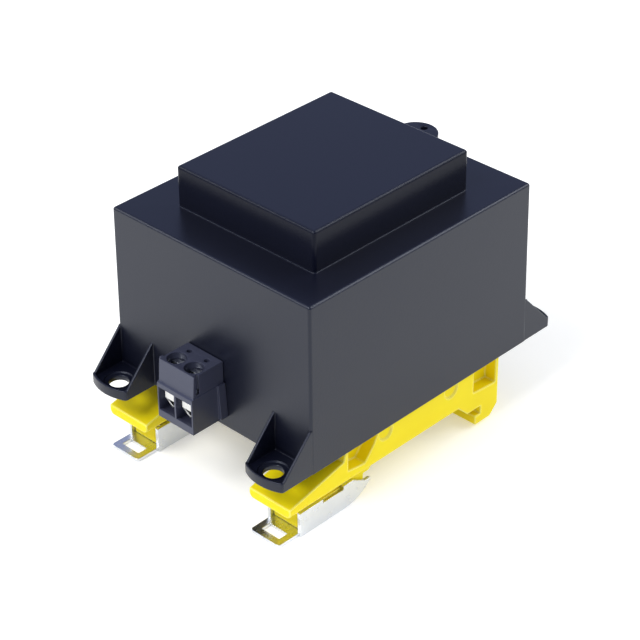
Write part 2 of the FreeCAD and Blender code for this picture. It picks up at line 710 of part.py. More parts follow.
def build_terminal_screw(side, way):
    """A captive screw: it turns on the web and never rises."""
    body = keep(new_body(f"{side}_{way}_screw"))
    seat = "chamber_high + screw_shelf + screw_gap"
    head = "screw_head / 2"
    shank = "screw_shank / 2"
    tip = "bar_top + screw_tip_gap"
    revolve(body, "Turned", "XZ",
            [("0", tip), (shank, tip), (shank, seat), (head, seat), (head, f"{seat} + screw_head_high"),
             ("0", f"{seat} + screw_head_high")])
    pocket(body, "Slot", "XY", [centred("screw_head + 1", "-screw_slot / 2", "screw_slot / 2")],
           "screw_slot_deep", offset=f"{seat} + screw_head_high")
    place(body, side, WAYS[way], "screw_reach")


# The feet, their latches and springs. Each is built about x = 0.

FEET = {"left": "-foot_spacing / 2", "right": "foot_spacing / 2"}
RAIL_FRONT = "rail_y - rail_width / 2"
RAIL_REAR = "rail_y + rail_width / 2"
ABUTMENT = f"{RAIL_FRONT} - rail_play"
HOOK_WALL = f"{RAIL_REAR} + rail_play"
SCREW_PLACES = {"front": "fix_front", "rear": "fix_rear"}


def build_foot(side):
    body = keep(new_body(side + "_foot"))
    tip = f"{HOOK_WALL} - hook_lip"
    seat_front = f"{HOOK_WALL} - seat_run"
    pad(body, "Bar", "YZ",
        [[("foot_front", "-foot_deep"), (f"{seat_front} - seat_slope", "-foot_deep"),
          (seat_front, "-seat_drop"), (HOOK_WALL, "-seat_drop"),
          (HOOK_WALL, "-seat_drop - hook_gap"), (tip, "-seat_drop - hook_gap"),
          (tip, "-hook_low"), (f"{tip} + hook_heel", "-hook_low"),
          ("foot_end", "-hook_low + hook_bevel"), ("foot_end", "0"),
          ("foot_ramp_end + foot_step_run", "0"), ("foot_ramp_end", "-foot_ramp_top"),
          ("foot_front", "-foot_nose_top")]],
        "foot_width", both=True)
    fillet(body, "UnderRound",
           lambda edge, middle: straight(edge, "y") and near(middle.z, "-foot_deep"),
           "foot_under_round")
    seat_rear = f"{ABUTMENT} + seat_overlap"
    pad(body, "Web", "YZ",
        [[("web_front", "-web_low"), (ABUTMENT, "-web_low"), (ABUTMENT, "-seat_drop"),
          (seat_rear, "-seat_drop"), (f"{seat_rear} + seat_slope", "-foot_deep"),
          (f"{seat_rear} + seat_slope", "-foot_deep + foot_under_round"),
          ("web_front", "-foot_deep + foot_under_round")]],
        "web_width", both=True)
    lip_low = "-latch_top - latch_sheet"
    groove = pocket(body, "Track", "YZ",
                    [box("web_front", "track_rear", f"{lip_low} - track_gap", "-latch_top + track_gap")],
                    f"web_width / 2 - {LIP_INNER} + track_gap", offset="web_width / 2")
    pocket(body, "SpringRoom", "XY",
           [centred("spring_room_width", "spring_room_front", "spring_room_rear")],
           "web_low - spring_room_top", offset="-web_low", back=True)
    front_relief = pocket(body, "FrontRelief", "YZ", [FRONT_RELIEF], "pocket_deep",
                          offset="foot_width / 2")
    rear_relief = pocket(body, "RearRelief", "YZ", [REAR_RELIEF], "pocket_deep",
                         offset="foot_width / 2")
    dimples = pocket(body, "Dimples", "YZ",
                     [(spot, "-dimple_drop", "dimple") for spot in SCREW_PLACES.values()],
                     "dimple_deep", offset="foot_width / 2")
    mirror(body, [groove, front_relief, rear_relief, dimples])
    spots = SCREW_PLACES.values()
    pocket(body, "ScrewHoles", "XY", [("0", spot, "fix_hole") for spot in spots], "foot_deep")
    pocket(body, "HeadWells", "XY", [("0", spot, "fix_well") for spot in spots], "fix_well_deep",
           offset="-foot_deep", back=True)
    bind(body, Placement__Base__x=FEET[side])


LIP_INNER = "(latch_width / 2 - latch_sheet - lip_in)"
FRONT_RELIEF = [
    ("front_relief_front", "-relief_top"),
    ("front_relief_front", "-front_relief_low"),
    ("front_relief_front + front_relief_sill", "-front_relief_low - relief_fall"),
    ("front_relief_rear - front_relief_knee", "-front_relief_knee_drop"),
    ("front_relief_rear", "-relief_top"),
]
REAR_RELIEF = [
    ("rear_relief_front", "-relief_top"),
    ("rear_relief_front", "-rear_relief_low"),
    ("rear_relief_rear", "-rear_relief_low - relief_fall"),
    ("rear_relief_rear", "-relief_top"),
]


def build_latch(side):
    """A channel bent from steel sheet, with two claws behind and a pull tab in front."""
    body = keep(new_body(side + "_latch"))
    tip = f"({RAIL_FRONT} + latch_bite)"
    flat = "-(seat_drop + rail_lip + claw_under)"
    point = f"{flat} - claw_point"
    rise = f"(latch_low + {point})"
    run = f"({tip} - claw_curve)"
    pad(body, "Sides", "YZ",
        [[("latch_front", "-latch_low"), ("claw_curve", "-latch_low"), (tip, point), (tip, flat),
          (f"{tip} - claw_flat", flat), (f"{tip} - claw_flat - claw_slope", "-latch_top"),
          ("notch_rear", "-latch_top"), ("notch_rear", "-latch_top - notch_deep"),
          ("notch_front", "-latch_top - notch_deep"), ("notch_front", "-latch_top"),
          ("latch_front", "-latch_top")]],
        "latch_width", arcs={1: f"({run} ^ 2 + {rise} ^ 2) / (2 * {rise})"}, both=True)
    inside = "latch_width - 2 * latch_sheet"
    pocket(body, "Channel", "XZ", [centred(inside, "-latch_low + latch_sheet", "-latch_top")],
           f"{tip} - latch_front", offset="-latch_front")
    pocket(body, "FloorEnd", "XZ", [centred(inside, "-latch_low", "-latch_low + latch_sheet")],
           f"{tip} - latch_web_rear", offset="-latch_web_rear")
    wall = "(latch_width / 2 - latch_sheet)"
    lips = pad(body, "Lips", "XY",
               [box(LIP_INNER, wall, "lip_front", "notch_front"),
                box(LIP_INNER, wall, "notch_rear", "lip_rear")],
               "latch_sheet", offset="-latch_top - latch_sheet")
    mirror(body, [lips])
    pad(body, "Tab", "XY", [centred("tab_width", "tab_front", "latch_front")], "latch_sheet",
        offset="-latch_low")
    fillet(body, "TabRound",
           lambda edge, middle: straight(edge, "z") and near(middle.y, "tab_front"), "tab_round")
    pocket(body, "Eye", "XY", [centred("eye_width", "eye_y - eye_depth / 2", "eye_y + eye_depth / 2")],
           "latch_sheet", offset="-latch_low + latch_sheet")
    pad(body, "Tongue", "XY",
        [centred("tongue_width", "latch_web_rear - latch_sheet", "latch_web_rear")],
        "tongue_high", offset="-latch_low + latch_sheet")
    bind(body, Placement__Base__x=FEET[side])


def build_spring(side):
    """A folded strip spring between the foot's front wall and the latch's tongue."""
    folds = 6
    body = keep(new_body(side + "_latch_spring"))
    start = "spring_room_front + spring_gap"
    pitch = f"((latch_web_rear - latch_sheet - spring_room_front - 2 * spring_gap) / {folds})"
    middle = "(-spring_drop - spring_strip / 2)"
    fold = "(spring_outer - spring_strip) / 2"
    turns = [(f"{start} + {turn + 0.5} * {pitch}", f"{middle} + {1 - turn % 2 * 2} * {fold}")
             for turn in range(folds)]
    under = [(start, middle), *turns, (f"{start} + {folds} * {pitch}", middle)]
    over = [(along, f"{up} + spring_strip") for along, up in reversed(under)]
    pad(body, "Folds", "YZ", [under + over], "spring_width", both=True)
    bind(body, Placement__Base__x=FEET[side])


def build_foot_screw(side, spot):
    body = keep(new_body(f"{side}_foot_{spot}_screw"))
    seat = "(fix_well_deep - foot_deep)"
    head = "fix_head / 2"
    shank = "fix_shank / 2"
    revolve(body, "Turned", "XZ",
            [("0", f"{seat} - fix_head_high"), (head, f"{seat} - fix_head_high"), (head, seat),
             (shank, seat), (shank, "fix_reach"), ("0", "fix_reach")])
    pocket(body, "Recess", "XY",
           [cross("fix_recess", "fix_recess_arm")],
           "fix_recess_deep", offset=f"{seat} - fix_head_high", back=True)
    bind(body, Placement__Base__x=FEET[side], Placement__Base__y=SCREW_PLACES[spot])


def cross(long, arm):
    """The outline of a cross recess."""
    a, b = f"({long}) / 2", f"({arm}) / 2"
    return [(a, b), (b, b), (b, a), (f"-{b}", a), (f"-{b}", b), (f"-{a}", b), (f"-{a}", f"-{b}"),
            (f"-{b}", f"-{b}"), (f"-{b}", f"-{a}"), (b, f"-{a}"), (b, f"-{b}"), (a, f"-{b}")]


INSERT_RADIUS = "(insert_outer / 2 / cos(30deg))"
INSERT_OUTLINE = [(INSERT_RADIUS, "0"), (f"{INSERT_RADIUS} / 2", "insert_outer / 2"),
                  (f"-{INSERT_RADIUS} / 2", "insert_outer / 2"), (f"-{INSERT_RADIUS}", "0"),
                  (f"-{INSERT_RADIUS} / 2", "-insert_outer / 2"),
                  (f"{INSERT_RADIUS} / 2", "-insert_outer / 2")]


def build_insert(side, spot):
    """A hexagonal brass bush in the resin, that the foot's screw is driven into."""
    body = keep(new_body(f"{side}_foot_{spot}_insert"))
    pad(body, "Bush", "XY", [INSERT_OUTLINE, ("0", "0", "insert_bore")], "insert_long")
    bind(body, Placement__Base__x=FEET[side], Placement__Base__y=SCREW_PLACES[spot])


# The transformer inside: a stack of E and I laminations, a coil former with two chambers, and the
# windings. The centre leg lies along X.

WINDOW = "core_leg / 2"
WINDOW_LONG = "core_leg * 3 / 2"
CORE_TOP = "(case_height - case_roof - core_roof_gap)"
CORE_LOW = f"({CORE_TOP} - core_stack)"
CORE_FAR = "(case_depth / 2 - case_wall - abs(hood_y) - core_side_gap)"  # half of it, along Y
CORE_LEFT = "-(case_width / 2 - case_wall - core_yoke_gap)"
CORE_RIGHT = "(case_width / 2 - case_wall - core_end_gap)"


def build_core():
    yoke = f"hood_x - {WINDOW_LONG} / 2"
    ends = f"hood_x + {WINDOW_LONG} / 2"
    leg = "core_leg / 2"
    side = f"core_leg / 2 + {WINDOW}"
    upper = [(ends, f"hood_y + {CORE_FAR}"), (CORE_LEFT, f"hood_y + {CORE_FAR}"),
             (CORE_LEFT, f"hood_y - {CORE_FAR}"), (ends, f"hood_y - {CORE_FAR}"),
             (ends, f"hood_y - ({side})"), (yoke, f"hood_y - ({side})"),
             (yoke, f"hood_y - {leg}"), (ends, f"hood_y - {leg}"), (ends, f"hood_y + {leg}"),
             (yoke, f"hood_y + {leg}"), (yoke, f"hood_y + {side}"), (ends, f"hood_y + {side}")]
    body = keep(new_body("core_e_stack"))
    pad(body, "Laminations", "XY", [upper], "core_stack", offset=CORE_LOW)
    body = keep(new_body("core_i_stack"))
    pad(body, "Laminations", "XY",
        [box(ends, CORE_RIGHT, f"hood_y - {CORE_FAR}", f"hood_y + {CORE_FAR}")], "core_stack",
        offset=CORE_LOW)


def ring(width, low, high):
    """A rectangle round the centre leg, in the sketch's Y and Z."""
    return box(f"hood_y - ({width})", f"hood_y + {width}", low, high)


def build_former():
    body = keep(new_body("coil_former"))
    bore = ring("core_leg / 2 + former_gap", f"{CORE_LOW} - former_gap", f"{CORE_TOP} + former_gap")
    long = f"({WINDOW_LONG} - 2 * former_end_gap)"
    pad(body, "Tube", "YZ", [tube_outside(), bore], long, offset="hood_x", both=True)
    rim = ring("core_leg / 2 + flange_rise", f"{CORE_LOW} - flange_rise", f"{CORE_TOP} + flange_rise")
    for name, shift in (("LeftFlange", f"-({long} - former_flange) / 2"), ("MiddleFlange", "flange_shift"),
                        ("RightFlange", f"({long} - former_flange) / 2")):
        pad(body, name, "YZ", [rim, bore], "former_flange", offset=f"hood_x + {shift}", both=True)


def tube_outside():
    grown = "former_gap + former_wall"
    return ring(f"core_leg / 2 + {grown}", f"{CORE_LOW} - ({grown})", f"{CORE_TOP} + {grown}")


CHAMBER = f"(({WINDOW_LONG} - 2 * former_end_gap - 3 * former_flange) / 2)"  # each, before the shift


def build_winding(name, toward):
    body = keep(new_body(name))
    half = "(core_leg / 2 + flange_rise - winding_inset)"
    low = f"{CORE_LOW} - flange_rise + winding_inset"
    high = f"{CORE_TOP} + flange_rise - winding_inset"
    cut = "winding_bevel"
    left, right = f"hood_y - {half}", f"hood_y + {half}"
    outside = [(f"{left} + {cut}", low), (f"{right} - {cut}", low), (right, f"{low} + {cut}"),
               (right, f"{high} - {cut}"), (f"{right} - {cut}", high), (f"{left} + {cut}", high),
               (left, f"{high} - {cut}"), (left, f"{low} + {cut}")]
    middle = f"hood_x + ({toward} * ({CHAMBER} + former_flange) + flange_shift) / 2"
    pad(body, "Turns", "YZ", [outside, tube_outside()], f"{CHAMBER} - {toward} * flange_shift",
        offset=middle, both=True)


def build_lead(side, way):
    """An insulated lead from a bar's tail up to the face of the winding."""
    body = keep(new_body(f"{side}_{way}_lead"))
    low = "bar_top - bar_thick / 2 - lead_thick / 2"
    high = f"{CORE_LOW} - lead_core_gap - lead_thick - block_low"
    toward = "1" if side == "front" else "-1"
    face = f"(case_depth / 2 + {toward} * hood_y - core_leg / 2 - flange_rise + winding_inset)"
    under = [("bar_tail", low), ("bar_tail + lead_run", low), (f"{face} - lead_run", high), (face, high)]
    over = [(along, f"{up} + lead_thick") for along, up in reversed(under)]
    pad(body, "Strip", "YZ", [under + over], "lead_width", both=True)
    place(body, side, WAYS[way])


def build_resin():
    """The casting resin: the case's cavity, less all that it holds."""
    body = new_body("cavity")
    pad(body, "Fill", "XY", [case_outline("case_wall")], "case_height - case_roof")
    draft(body, "FillDraft", case_outline("case_wall"), "case_draft")
    pad(body, "HoodFill", "XY", [hood_outline("case_wall")], "case_height + hood_height - case_roof")
    held = [node for node in NODES if node.Label in HELD or node.Label.endswith(HELD_ENDS)]
    for side in FEET:
        for spot in SCREW_PLACES:
            bush = doc.addObject("Part::Prism", f"{side}_{spot}_bush")
            bush.Polygon = 6
            bind(bush, Circumradius=INSERT_RADIUS, Height="insert_long",
                 Placement__Base__x=FEET[side], Placement__Base__y=SCREW_PLACES[spot])
            held.append(bush)
    resin = doc.addObject("Part::Cut", "potting_resin")
    resin.Base = body
    resin.Tool = join("Potted", held)
    resin.Refine = True
    keep(resin, "potting_resin")


HELD = {"core_e_stack", "core_i_stack", "coil_former", "primary_winding", "secondary_winding",
        "front_terminal_body", "rear_terminal_body"}
HELD_ENDS = ("_contact_bar", "_lead")


def build_all():
    build_housing()
    for side in ("front", "rear"):
        build_terminal(side)
        for way in WAYS:
            build_bar(side, way)
            build_cage(side, way)
            build_terminal_screw(side, way)
            build_lead(side, way)
    for side in FEET:
        build_foot(side)
        build_latch(side)
        build_spring(side)
        for spot in SCREW_PLACES:
            build_foot_screw(side, spot)
            build_insert(side, spot)
    build_core()
    build_former()
    build_winding("primary_winding", "-1")
    build_winding("secondary_winding", "1")
    build_resin()


def write_all():
    doc.recompute()
    failed = [thing.Name for thing in doc.Objects if {"Invalid", "Error"} & set(thing.State)]
    if failed:
        raise RuntimeError(f"these failed: {failed}")
    for node in NODES:
        shape = node.Shape
        if shape.isNull() or not shape.isValid() or len(shape.Solids) != 1:
            raise RuntimeError(f"{node.Label} is not one valid solid")
    os.makedirs("parts", exist_ok=True)
    for node in NODES:
        node.Shape.exportStep(f"parts/{node.Label}.step")
    print(f"{len(NODES)} sub-parts written")


build_all()
write_all()
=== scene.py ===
# %% [markdown]
# A resin-filled mains transformer is a plain product, so its look lives in small things: the soft
# light along moulded edges, the grain on the side walls, zinc plate that mirrors the yellow foot
# next to it. It could be modelled here from nothing, but the measured model already has every
# part at its true size and place, so that is loaded first. Every piece below is a dressed copy of
# one of its parts. Only the threads are added, as small forms swept along a path on the screws.
# All lengths are in metres, as in the model.

# %% Load the measured model
import json
import math

import bmesh
import bpy
from mathutils import Euler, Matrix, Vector


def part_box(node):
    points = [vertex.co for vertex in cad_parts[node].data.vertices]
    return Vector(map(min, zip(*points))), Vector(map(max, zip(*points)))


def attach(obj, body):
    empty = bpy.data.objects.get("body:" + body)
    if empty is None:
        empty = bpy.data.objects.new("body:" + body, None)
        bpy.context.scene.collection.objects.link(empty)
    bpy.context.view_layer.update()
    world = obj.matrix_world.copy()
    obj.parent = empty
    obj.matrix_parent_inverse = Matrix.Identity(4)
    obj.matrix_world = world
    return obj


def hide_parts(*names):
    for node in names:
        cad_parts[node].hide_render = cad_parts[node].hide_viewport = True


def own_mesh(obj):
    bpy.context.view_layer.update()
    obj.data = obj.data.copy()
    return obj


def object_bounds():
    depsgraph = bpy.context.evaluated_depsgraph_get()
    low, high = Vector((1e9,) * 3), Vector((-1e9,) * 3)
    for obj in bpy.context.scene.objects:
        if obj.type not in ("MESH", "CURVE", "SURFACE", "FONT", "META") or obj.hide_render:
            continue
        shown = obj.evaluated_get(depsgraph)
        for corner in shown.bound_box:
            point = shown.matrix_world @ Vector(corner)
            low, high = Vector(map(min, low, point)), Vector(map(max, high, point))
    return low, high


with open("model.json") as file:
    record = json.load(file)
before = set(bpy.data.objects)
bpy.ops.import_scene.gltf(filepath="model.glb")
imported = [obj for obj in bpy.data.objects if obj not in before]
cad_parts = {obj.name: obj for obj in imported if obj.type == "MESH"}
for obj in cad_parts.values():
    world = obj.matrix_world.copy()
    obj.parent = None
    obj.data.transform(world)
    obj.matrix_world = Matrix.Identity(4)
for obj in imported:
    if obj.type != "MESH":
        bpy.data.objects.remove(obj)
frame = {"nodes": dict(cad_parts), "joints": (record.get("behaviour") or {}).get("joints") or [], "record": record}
nodes = frame["nodes"]
scene = bpy.context.scene
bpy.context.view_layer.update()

# %% [markdown]
# The camera comes first, because every later choice is judged through it. It stands where the
# photograph was taken from: about 44 degrees to the right of the front, 33 degrees up and nearly
# half a metre away, with a long lens. A constraint could aim it at the part, but plain turns also
# keep the photograph's half a degree of roll.

# %% Place the camera
camera_data = bpy.data.cameras.new("Camera")
camera_data.sensor_width = 36.0
camera_data.lens = 123.287
camera_data.clip_start = 0.01
camera_data.clip_end = 10.0
camera = bpy.data.objects.new("Camera", camera_data)
camera.location = (0.273683, -0.281368, 0.264632)
camera.rotation_euler = Euler([math.radians(turn) for turn in (56.8776, 0.5447, 43.9839)], "XYZ")
scene.collection.objects.link(camera)
scene.camera = camera
scene.view_settings.view_transform = "Standard"
print("camera stands", round(camera.location.length, 3), "m from the origin")

# %% [markdown]
# A material is a small tree of shader nodes. It could be drawn by hand in the node editor, but a
# script can be read, changed and run again. These helpers make a material, add a node with its
# settings, and join sockets. A number that is the same all over a surface is set on the shader's
# own socket, so that it survives an export. The Mix node has sockets for every kind of value, and
# they share their names, so the ones for colours are picked by number.

# %% Helpers for shader nodes
MIX_FACTOR, MIX_FIRST, MIX_SECOND = 0, 6, 7
MIX_RESULT = 2
ROUNDING_SAMPLES = 6


class Finish:
    """A material with its main shader and short ways to add to it."""

    def __init__(self, name, colour, roughness, metallic=0.0):
        self.material = bpy.data.materials.new(name)
        self.material.use_nodes = True
        self.tree = self.material.node_tree
        self.shader = self.tree.nodes["Principled BSDF"]
        self.set("Base Color", (*colour, 1))
        self.set("Roughness", roughness)
        self.set("Metallic", metallic)
        self.place = self.add("ShaderNodeTexCoord").outputs["Object"]
        self.rounding = None

    def set(self, socket, value):
        """Give one of the shader's sockets a value that is the same all over the surface."""
        self.shader.inputs[socket].default_value = value

    def join(self, socket, value):
        """Let another node drive one of the shader's sockets."""
        self.tree.links.new(value, self.shader.inputs[socket])

    def add(self, kind, inputs=None, **settings):
        """Add a node. Each of its inputs is a value to set or a socket to join."""
        node = self.tree.nodes.new(kind)
        for key, value in settings.items():
            setattr(node, key, value)
        for key, value in (inputs or {}).items():
            if isinstance(value, bpy.types.NodeSocket):
                self.tree.links.new(value, node.inputs[key])
            else:
                node.inputs[key].default_value = value
        return node

    def noise(self, scale, detail=3.0, along_y=1.0):
        """Noise on the piece's own coordinates, drawn out into streaks by a small along_y."""
        mapped = self.add("ShaderNodeMapping", {"Vector": self.place, "Scale": (1.0, along_y, 1.0)})
        return self.add("ShaderNodeTexNoise", {
            "Vector": mapped.outputs["Vector"], "Scale": scale, "Detail": detail}).outputs["Fac"]

    def remap(self, value, given, wanted):
        """Carry a value from one range, a pair, to another. The new pair may hold sockets."""
        return self.add("ShaderNodeMapRange", {
            "Value": value, "From Min": given[0], "From Max": given[1],
            "To Min": wanted[0], "To Max": wanted[1]}).outputs["Result"]

    def times(self, first, second):
        return self.add("ShaderNodeMath", {0: first, 1: second}, operation="MULTIPLY").outputs[0]

    def blend(self, factor, first, second):
        """Mix two colours, each of them three numbers or a socket."""
        pair = [colour if isinstance(colour, bpy.types.NodeSocket) else (*colour, 1)
                for colour in (first, second)]
        mix = self.add("ShaderNodeMix", {
            MIX_FACTOR: factor, MIX_FIRST: pair[0], MIX_SECOND: pair[1]}, data_type="RGBA")
        return mix.outputs[MIX_RESULT]

    def paint(self, factor, first, second):
        """Let a blend of two colours be the surface's colour."""
        self.join("Base Color", self.blend(factor, first, second))

    def round_edges(self, radius):
        """Shade edges as if they were rounded by this radius."""
        self.rounding = self.add(
            "ShaderNodeBevel", {"Radius": radius}, samples=ROUNDING_SAMPLES).outputs["Normal"]
        self.join("Normal", self.rounding)

    def bump(self, height, strength, distance):
        """Add relief, on top of the rounded edges where there are any."""
        settings = {"Height": height, "Strength": strength, "Distance": distance}
        if self.rounding:
            settings["Normal"] = self.rounding
        self.join("Normal", self.add("ShaderNodeBump", settings).outputs["Normal"])


def shade(colour, strength):
    """A darker or lighter shade of a colour."""
    return tuple(min(1.0, strength * part) for part in colour)


# %% [markdown]
# The case is a dark blue-grey glass-filled nylon. The tool's steel was spark-eroded on the side
# walls, which leaves a fine even grain, and polished for the flat tops, which are smoother. The
# hood, above 39 mm, was polished all round: its walls are smoother, mirror less of the pale room
# and end in rounder edges. A picture of such grain could be wrapped round the case, but a noise
# in the bump needs no unwrapping and is the same size on every face. Two masks, from a face's
# direction and from its height, tell the tops and the hood from the walls. A second, much
# broader noise shifts the gloss a little, as handling does. Most values of a noise lie between
# 0.3 and 0.7, so it is spread from there.

# %% Case plastic
NOISE_SPREAD = (0.3, 0.7)
SPECK_SPREAD = (0.35, 0.65)
HOOD_HEIGHT = (0.0390, 0.0400)  # where the case's finish turns to the hood's
FACING_UP = (0.6, 0.95)  # how far up a face looks, from a wall to a top
WALL_ROUGHNESS = 0.32
TOP_ROUGHNESS = 0.30
TOP_GRAIN = 0.25
HOOD_ROUNDING = 2.0  # the hood's share of the case's rounding, roughness and shine
HOOD_ROUGHNESS = 0.55
HOOD_SHINE = 0.28
COOL_SHINE = (0.84, 0.89, 1.0, 1)


def moulded_plastic(name, colour, grain, grain_depth, rounding, shine):
    finish = Finish(name, colour, WALL_ROUGHNESS)
    finish.set("Specular Tint", COOL_SHINE)
    height = finish.add("ShaderNodeSeparateXYZ", {"Vector": finish.place}).outputs["Z"]
    normal = finish.add("ShaderNodeNewGeometry").outputs["Normal"]
    upward = finish.add("ShaderNodeSeparateXYZ", {"Vector": normal}).outputs["Z"]

    def hood(value, share):
        """A value that changes to a share of itself above the hood's foot."""
        return finish.remap(height, HOOD_HEIGHT, (value, share * value))

    def tops(wall, top):
        """One value on walls and another on faces that look up."""
        return finish.remap(upward, FACING_UP, (wall, top))

    finish.round_edges(hood(rounding, HOOD_ROUNDING))
    finish.join("Specular IOR Level", tops(hood(shine, HOOD_SHINE), shine))
    gloss = tops(hood(WALL_ROUGHNESS, HOOD_ROUGHNESS), TOP_ROUGHNESS)
    cloud = finish.noise(55.0, detail=2.0)
    finish.join("Roughness", finish.times(gloss, finish.remap(cloud, NOISE_SPREAD, (0.93, 1.07))))
    fine = finish.noise(grain, detail=2.0)
    speck = finish.remap(fine, SPECK_SPREAD, (0.88, 1.12))
    finish.paint(finish.times(speck, cloud), shade(colour, 0.88), shade(colour, 1.15))
    finish.bump(finish.times(fine, tops(1.0, TOP_GRAIN)), strength=0.5, distance=grain_depth)
    return finish


case_plastic = moulded_plastic(
    "case_plastic", (0.0038, 0.0046, 0.0115), grain=2600.0, grain_depth=0.00004,
    rounding=0.00030, shine=0.46)
terminal_plastic = moulded_plastic(
    "terminal_plastic", (0.0340, 0.0370, 0.0640), grain=3400.0, grain_depth=0.00002,
    rounding=0.00012, shine=0.52)
print("case plastic has", len(case_plastic.tree.nodes), "nodes")

# %% [markdown]
# The feet are a bright yellow nylon. It lets a little light in under its skin, so its shaded parts
# stay warm rather than grey. A small amount of subsurface scattering gives that, and a faint
# broad noise keeps the large faces from looking like paint. Thin edges of such a nylon glow. More
# scattering could show it, but would blur the whole foot, so a painted highlight stands in: where
# the rounded normal turns away from the flat one there is an edge, and its colour is painted paler.

# %% Foot plastic
EDGE_TURN = (0.999, 0.90)  # the dot product of the two normals, from flat to a full edge
# painted highlight: the paler colour painted on the feet's edges
EDGE_PAINTED_HIGHLIGHT = (1.0, 0.97, 0.30)

foot_plastic = Finish("foot_plastic", (0.83, 0.66, 0.008), roughness=0.42)
foot_plastic.set("Specular IOR Level", 0.16)
foot_plastic.set("Subsurface Weight", 0.12)
foot_plastic.set("Subsurface Radius", (0.0016, 0.0010, 0.0002))
foot_plastic.set("Subsurface Scale", 1.0)
foot_plastic.round_edges(0.00060)
foot_body = foot_plastic.blend(foot_plastic.noise(90.0), (0.81, 0.65, 0.004), (0.86, 0.71, 0.007))
foot_flat = foot_plastic.add("ShaderNodeNewGeometry").outputs["Normal"]
foot_turn = foot_plastic.add(
    "ShaderNodeVectorMath", {0: foot_flat, 1: foot_plastic.rounding}, operation="DOT_PRODUCT")
# the mask of the edges, which get the paler colour as a painted highlight
foot_edge_highlight_mask = foot_plastic.remap(foot_turn.outputs["Value"], EDGE_TURN, (0.0, 1.0))
foot_plastic.paint(foot_edge_highlight_mask, foot_body, EDGE_PAINTED_HIGHLIGHT)
foot_plastic.bump(foot_plastic.noise(1500.0, detail=2.0), strength=0.25, distance=0.00002)
print("foot plastic has", len(foot_plastic.tree.nodes), "nodes")

# %% [markdown]
# The latches are stamped from steel sheet and plated with bright zinc. Rolling leaves streaks
# along the sheet, and the plating adds a soft mottle. The shader's anisotropy would only draw out
# the glints. A noise that is stretched along Y shows the streaks themselves: it makes a shallow
# bump and, with the mottle, shifts the roughness. Pure mirror metal would look black or white in
# patches here, so the roughness stays near a third.

# %% Zinc plate and other metals
PLATE_SPREAD = (0.1, 0.45)
PLATE_MOTTLE = 0.06
PLATE_RELIEF = 0.00001


def plated(name, colour, roughness, along_y=1.0):
    finish = Finish(name, colour, roughness, metallic=1.0)
    streak = finish.noise(900.0, detail=4.0, along_y=along_y)
    patch = finish.noise(260.0)
    finish.join("Roughness", finish.remap(
        finish.times(streak, patch), PLATE_SPREAD,
        (roughness - PLATE_MOTTLE, roughness + PLATE_MOTTLE)))
    finish.paint(patch, shade(colour, 0.90), shade(colour, 1.06))
    finish.bump(streak, strength=0.3, distance=PLATE_RELIEF)
    return finish


latch_zinc = plated("latch_zinc", (0.74, 0.76, 0.78), roughness=0.30, along_y=0.06)
screw_zinc = plated("screw_zinc", (0.62, 0.63, 0.61), roughness=0.28)
cage_zinc = plated("cage_zinc", (0.66, 0.66, 0.62), roughness=0.34, along_y=0.2)
spring_steel = plated("spring_steel", (0.50, 0.50, 0.51), roughness=0.25)
bar_tin = plated("bar_tin", (0.78, 0.77, 0.74), roughness=0.30, along_y=0.1)
insert_brass = plated("insert_brass", (0.72, 0.50, 0.20), roughness=0.30)
print("latch zinc has", len(latch_zinc.tree.nodes), "nodes")

# %% [markdown]
# Inside the case nothing shows, but the parts are there, and each gets a finish that tells what it
# is: cast resin, stacked steel sheets, enamelled copper, a pale moulded former and sleeved leads.
# The sheets and the turns of wire could each be modelled, which makes very many faces that nobody
# sees. Here they are bands made with a wave texture, about half a millimetre apart.

# %% Finishes of the inner parts
WAVE_PERIOD = 0.314  # from band to band of a wave texture at scale 1

resin = Finish("potting_resin", (0.012, 0.012, 0.013), roughness=0.25)
resin_flow = resin.noise(70.0, detail=4.0)
resin.join("Roughness", resin.remap(resin_flow, NOISE_SPREAD, (0.16, 0.38)))
resin.paint(resin_flow, (0.009, 0.009, 0.010), (0.020, 0.019, 0.020))
resin.bump(resin.noise(140.0), strength=0.35, distance=0.00015)


def banded(name, dark, light, axis, pitch, roughness, metallic):
    finish = Finish(name, light, roughness, metallic)
    wave = finish.add(
        "ShaderNodeTexWave",
        {"Vector": finish.place, "Scale": WAVE_PERIOD / pitch, "Distortion": 0.0},
        bands_direction=axis, wave_profile="SIN").outputs["Fac"]
    finish.paint(wave, dark, light)
    finish.bump(wave, strength=0.6, distance=pitch / 4)
    return finish


core_steel = banded("core_steel", (0.10, 0.10, 0.11), (0.34, 0.34, 0.36),
                    axis="Z", pitch=0.0005, roughness=0.4, metallic=0.9)
copper_turns = banded("copper_turns", (0.22, 0.06, 0.02), (0.62, 0.24, 0.09),
                      axis="X", pitch=0.0006, roughness=0.35, metallic=0.8)
former_nylon = Finish("former_nylon", (0.58, 0.56, 0.48), roughness=0.5)
former_nylon.paint(former_nylon.noise(120.0), (0.54, 0.52, 0.44), (0.62, 0.60, 0.52))
lead_sleeve = Finish("lead_sleeve", (0.02, 0.02, 0.02), roughness=0.55)
lead_sleeve.join("Roughness", lead_sleeve.remap(
    lead_sleeve.noise(1400.0), NOISE_SPREAD, (0.45, 0.65)))
print("materials so far:", len(bpy.data.materials))

# %% [markdown]
# A measured solid has perfectly sharp edges, and a sharp edge catches no light. The shader could
# round them alone, but only a real bevel is still there after an export. So each visible part is
# copied, its coplanar triangles are joined in pairs, and a narrow bevel is run round its edges,
# with normals that keep the flat faces flat.

# %% Helpers that dress a copy of a part
WELD = 1e-6
COPLANAR = math.radians(0.4)
ANY_SHAPE = math.radians(180.0)
SHARP = math.radians(28.0)
EDGE_SEGMENTS = 2


def new_piece(name, mesh):
    piece = bpy.data.objects.new(name, mesh)
    scene.collection.objects.link(piece)
    return piece


